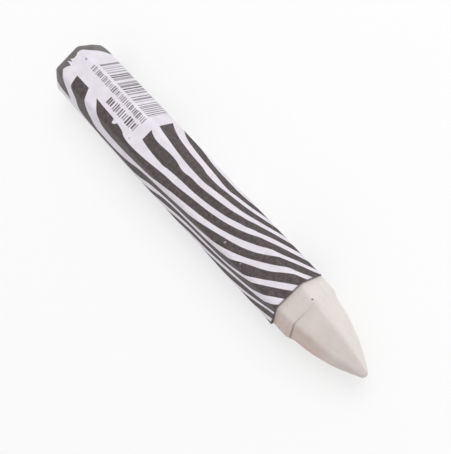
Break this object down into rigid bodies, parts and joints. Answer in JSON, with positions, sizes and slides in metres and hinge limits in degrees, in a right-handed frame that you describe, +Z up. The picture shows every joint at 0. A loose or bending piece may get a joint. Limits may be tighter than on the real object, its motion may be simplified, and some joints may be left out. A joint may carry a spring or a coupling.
{
  "type": "tire marking crayon",
  "caption": "Hexagonal wax marking crayon with a curved point and a printed paper wrapper, for marking tyres, metal and timber by hand.",
  "frame": {"origin": "on the surface the crayon lies on, under the middle of its length and width", "axes": "+X along the stick towards the point, +Z up out of the surface, +Y across, towards the side whose lower flat carries the wrapper's lap seam"},
  "size_m": [0.12, 0.0178, 0.0158],
  "materials": {
    "wax": "satin",
    "wrapper_paper": "matte"
  },
  "bodies": {
    "root": {"wax_stick": "wax", "paper_wrapper": "wrapper_paper"}
  },
  "joints": []
}
